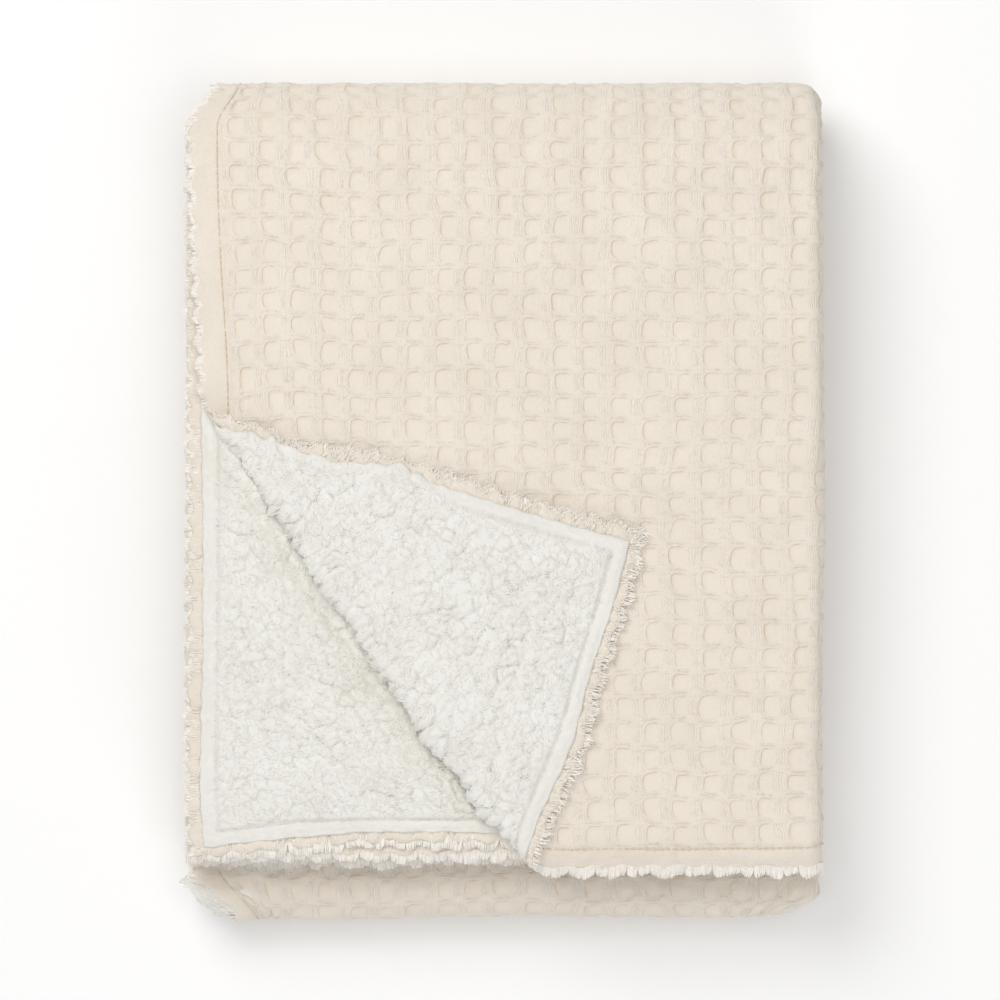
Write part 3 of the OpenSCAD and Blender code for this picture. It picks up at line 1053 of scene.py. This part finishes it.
def waffle_look():
    look = Look("waffle_weave", 0.92, 0.15, 0.2)
    where, pu, pv, edge = look.place()
    tone = look.tone()
    fa, fb = ((at * (1 / cell)).by("FRACT") - 0.5 for at, cell in ((pu, CELL_U), (pv, CELL_V)))
    wander = look.noise(where, 4 * MM)
    across_disc, along_disc = abs(fa * (1 / DISC_U)), abs(fb * (1 / DISC_V))
    r = (across_disc ** DISC_POWER + along_disc ** DISC_POWER) ** (1 / DISC_POWER)
    woven = edge.ramp(SEAM_IN + 0.5 * MM, SEAM_IN + 3 * MM)
    shaded_side = (fa * -1.3 + fb * 0.8).ramp(-0.10, 0.18)
    # Painted shade on each disc's rim, on the side away from the light.
    rim = abs(r - 1.0).ramp(0.12, 0.0) * woven
    rim = rim * look.noise(where, 9 * MM).ramp(0.36, 0.60) * shaded_side
    step = r.ramp(0.92, 1.10) * woven
    floats = abs(fa).ramp(0.27, 0.31) * abs(fb).ramp(0.36, 0.30) * woven
    weft = abs(fa).ramp(0.24, 0.20) * abs(fb).ramp(0.38, 0.42) * woven
    upright = ((pu * (1 / UPRIGHT_PITCH) + wander * 1.6) * TURN).by("SINE")
    level = ((pv * (1 / LEVEL_PITCH) + wander * 1.2) * TURN).by("SINE")
    seen = look.noise(where, 7 * MM).ramp(0.34, 0.52)
    threads = (upright * floats + level * weft) * seen
    knob_u, knob_v = (abs(fa) - 0.5) * (1 / 0.24), (abs(fb) - 0.5) * (1 / 0.21)
    knob = (knob_u * knob_u + knob_v * knob_v).ramp(1.15, 0.75) * woven
    # Painted shade in the gaps between the threads.
    gap_shade = (threads * -1.0).ramp(0.55, 1.0) * look.noise(where, 2.5 * MM).ramp(0.42, 0.62)
    fine = look.noise(where, 0.7 * MM, 3.0)
    base = look.mix(look.noise(where, 34 * MM).ramp(0.3, 0.7), *CREAM)
    disc = r.ramp(1.0, 0.8) * woven
    base = look.mix(disc * 0.28, base, DISC_CREAM)
    # Painted shade: the tone's shade in the hollows and its darker seam, the discs' shaded rims and
    # the gaps between the threads.
    base = look.mix(tone * 0.20 + rim * 0.50 + gap_shade * 0.36, base, SHADE_BROWN)
    # Painted highlight on the tops of the threads.
    base = look.mix(threads.ramp(0.3, 1.0) * 0.55, base, THREAD_HIGHLIGHT)
    look.set("Base Color", base)
    crinkle = look.noise(where, 2.2 * MM)
    plain = (upright + level) * (woven * -1.0 + 1.0)
    height = threads * (0.10 * MM) + step * shaded_side * (0.26 * MM) + knob * (0.17 * MM)
    height = height - rim * (0.08 * MM) + crinkle * (0.35 * MM) + plain * (0.03 * MM)
    look.bump(height, fine * (0.16 * MM))
    return look.material


def sherpa_look():
    look = Look("sherpa_pile", 0.95, 0.1, 0.35, 0.7)
    where, *_ = look.place()
    tone = look.tone()
    fibres = look.noise(where, 0.9 * MM, 3.0)
    curls = look.curls(where, 2.9 * MM)
    tufts = look.noise(where, 3.5 * MM, 3.0)
    base = look.mix(look.noise(where, 30 * MM).ramp(0.3, 0.7), *FLEECE)
    # Painted shade, from the tone in the cracks and beside the crease.
    base = look.mix(tone * 0.55, base, SHADE_GREY)
    base = look.mix(tufts.ramp(0.48, 0.72) * 0.45, base, TUFT_WHITE)
    look.set("Base Color", base)
    look.bump(curls * (-0.42 * MM) + tufts * (0.4 * MM), fibres * (0.12 * MM))
    return look.material


def yarn_look(name, dark, light, size):
    """Cut yarn or thread."""
    look = Look(name, 0.9, 0.15, 0.3)
    where, *_ = look.place()
    fine = look.noise(where, size, 3.0)
    look.set("Base Color", look.mix(fine.ramp(0.3, 0.7), dark, light))
    look.bump(fine * (0.1 * MM))
    return look.material


# ---- The pieces ----

STRIPS = {"lower": ["lower"], "back_fold": ["outer_fold", "inner_fold"], "upper": ["first", "last"]}


def hold(obj, part, turn):
    """Joins a piece of the lower part to the lower pack's body, and bakes the transform of any
    other piece into its mesh. turn is not used."""
    if part == "lower":
        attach(obj, "lower_pack")
        return
    if part == "upper":
        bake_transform(obj)
    else:
        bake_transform(obj)


def finish_piece(piece, kind, part, material, nodes):
    obj = piece.make(f"{kind}_{part}", material, kind not in ("fringe", "sherpa_locks"))
    hold(obj, part, np.concatenate(piece.turn))
    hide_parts(*nodes)
    return obj


def nodes_of(kind, part):
    """The frame's nodes of one kind of cloth or thread in one part of the throw."""
    extra = [f"{kind}_crease", f"{kind}_corner"] if part == "upper" else []
    return [name for name in [f"{kind}_{part}", *extra] if name in frame["nodes"]]


FACE_MAKE = (face_grid, waffle, hem_back, no_slack, 1)
LINING_MAKE = (lining_grid, pile, lining_back, slack, -1)


def build_cloth(part, kind, material, slot, make):
    piece = Piece()
    for strip in STRIPS[part]:
        add_sheet(piece, strip, *make)
    return finish_piece(piece, slot, part, material, nodes_of(kind, part))


def build_fringe(part, material):
    piece, nodes = Piece(), [f"side_fringe_{part}"]
    for strip in STRIPS[part]:
        edge_fringe(piece, strip)
    if part == "upper":
        frays(piece, "first", 100)
        nodes += ["first_end_fringe", "last_end_fringe", "corner_side_fringe", "corner_end_fringe"]
    return finish_piece(piece, "fringe", part, material, nodes)


def build_seam(part, kind, material):
    piece = Piece()
    for strip in STRIPS[part]:
        stitches(piece, strip, kind)
    slot = f"{kind}_thread"
    return finish_piece(piece, f"{kind}_stitches", part, material, nodes_of(slot, part))


def build_throw():
    woven, furry = waffle_look(), sherpa_look()
    yarn = yarn_look("cut_cotton_yarn", *YARN, 1.4 * MM)
    needle_thread = yarn_look("needle_thread", *NEEDLE, 0.4 * MM)
    bobbin_thread = yarn_look("bobbin_thread", *BOBBIN, 0.4 * MM)
    for part in STRIPS:
        face = build_cloth(part, "face_cloth", woven, "waffle_face", FACE_MAKE)
        lining = build_cloth(part, "lining", furry, "sherpa_lining", LINING_MAKE)
        fringe = build_fringe(part, yarn)
        needle = build_seam(part, "needle", needle_thread)
        bobbin = build_seam(part, "bobbin", bobbin_thread)
        locked = [] if part == "back_fold" else [build_locks(part, furry)]


# ---- Floor, light and camera ----

FLOOR_HALF = 3.0


def build_floor():
    mesh = bpy.data.meshes.new("floor")
    corners = [(FLOOR_HALF * i, FLOOR_HALF * j, 0) for i, j in ((-1, -1), (1, -1), (1, 1), (-1, 1))]
    mesh.from_pydata(corners, [], [(0, 1, 2, 3)])
    look = Look("pale_floor", 0.8, 0.2, 0.0)
    look.set("Base Color", (0.97, 0.97, 0.97, 1))
    mesh.materials.append(look.material)
    floor = add_object("floor", mesh)


def add_light(name, place, size, power, colour=(1, 1, 1)):
    """A round soft light that shines at the middle of the throw."""
    data = bpy.data.lights.new(name, "AREA")
    data.shape, data.size, data.energy, data.color = "DISK", size, power, colour
    light = add_object(name, data, place)
    light.rotation_euler = (-Vector(place)).to_track_quat("-Z", "Y").to_euler()


def build_light():
    add_light("key", (-0.95, 1.42, 2.2), 1.7, 35, (1.0, 0.99, 0.975))
    add_light("soft_top", (0.2, 0.0, 3.0), 2.2, 19)
    add_light("front_fill", (0.5, -1.9, 1.2), 1.6, 12)
    world = bpy.data.worlds.new("studio")
    world.use_nodes = True
    background = world.node_tree.nodes["Background"]
    feed(background.inputs["Color"], (1.0, 1.0, 1.0, 1))
    feed(background.inputs["Strength"], 0.40)
    bpy.context.scene.world = world
    bpy.context.scene.view_settings.view_transform = "Standard"


FRAME_WIDTH = 0.514  # what the picture takes in at the top of the throw
LENS, SENSOR = 300.0, 36.0
CAMERA_XY = -2.3 * MM, 0.8 * MM


def build_camera():
    """Looks straight down from far off."""
    data = bpy.data.cameras.new("camera")
    data.lens, data.sensor_width = LENS, SENSOR
    data.clip_end = 50
    place = (*CAMERA_XY, Z_TOP + FRAME_WIDTH * LENS / SENSOR)
    bpy.context.scene.camera = add_object("camera", data, place)


build_throw()
build_floor()
build_light()
build_camera()
